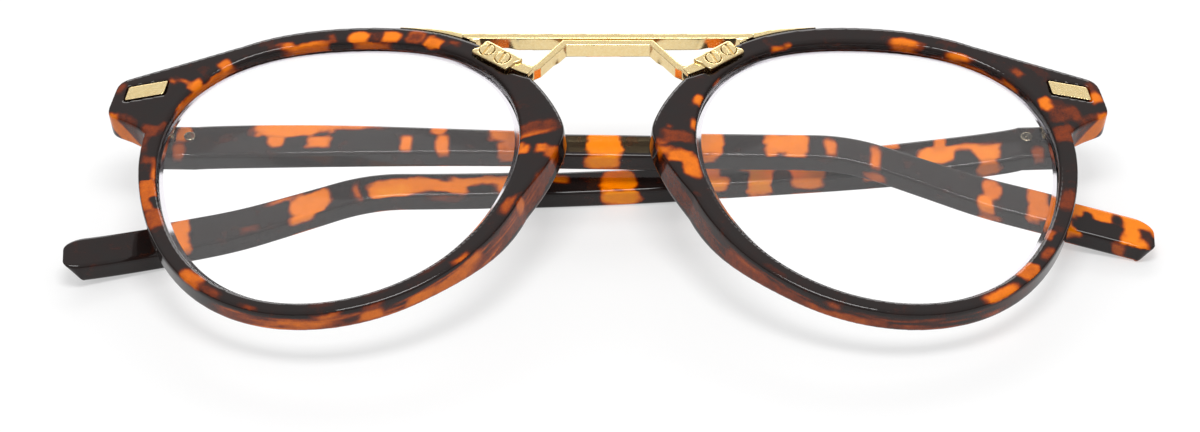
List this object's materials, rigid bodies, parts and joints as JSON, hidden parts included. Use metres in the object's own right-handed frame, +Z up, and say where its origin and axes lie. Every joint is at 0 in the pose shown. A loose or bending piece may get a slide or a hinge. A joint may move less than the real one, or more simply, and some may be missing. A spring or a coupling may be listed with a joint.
{
  "type": "round reading glasses",
  "caption": "Round tortoiseshell reading glasses with a gold double bridge, folded on their hinged temples.",
  "frame": {"origin": "centre of the bounding box at the surface that the folded glasses lie on", "axes": "+X to the viewer's right along the front, +Y from the chin side to the brow side, +Z up from the surface"},
  "size_m": [0.1584, 0.0566, 0.0239],
  "materials": {
    "tortoise": "polished mottled acetate",
    "gold": "polished light gold",
    "steel": "plain",
    "lens": "clear"
  },
  "bodies": {
    "front": {"left_rim": "tortoise", "left_lens": "lens", "left_inlay": "gold", "left_outer_bridge_screw": "gold", "left_inner_bridge_screw": "gold", "left_brow_pin": "gold", "left_front_hinge_leaf": "steel", "left_hinge_screw": "steel", "left_front_hinge_rivet": "steel", "right_rim": "tortoise", "right_lens": "lens", "right_inlay": "gold", "right_outer_bridge_screw": "gold", "right_inner_bridge_screw": "gold", "right_brow_pin": "gold", "right_front_hinge_leaf": "steel", "right_hinge_screw": "steel", "right_front_hinge_rivet": "steel", "bridge": "gold", "brow_bar": "gold"},
    "left_temple": {"left_temple": "tortoise", "left_temple_hinge_leaf": "steel", "left_temple_hinge_rivet": "steel"},
    "right_temple": {"right_temple": "tortoise", "right_temple_hinge_leaf": "steel", "right_temple_hinge_rivet": "steel"}
  },
  "joints": [
    {"name": "left_temple_hinge", "type": "hinge", "parent": "front", "child": "left_temple", "pos_m": [-0.06673, 0.01668, 0.01115], "axis": [0.029, 0.9763, 0.2144], "range_deg": [0, 92]},
    {"name": "right_temple_hinge", "type": "hinge", "parent": "front", "child": "right_temple", "pos_m": [0.06649, 0.01668, 0.00887], "axis": [0.0434, -0.9755, -0.2155], "range_deg": [0, 92]}
  ]
}
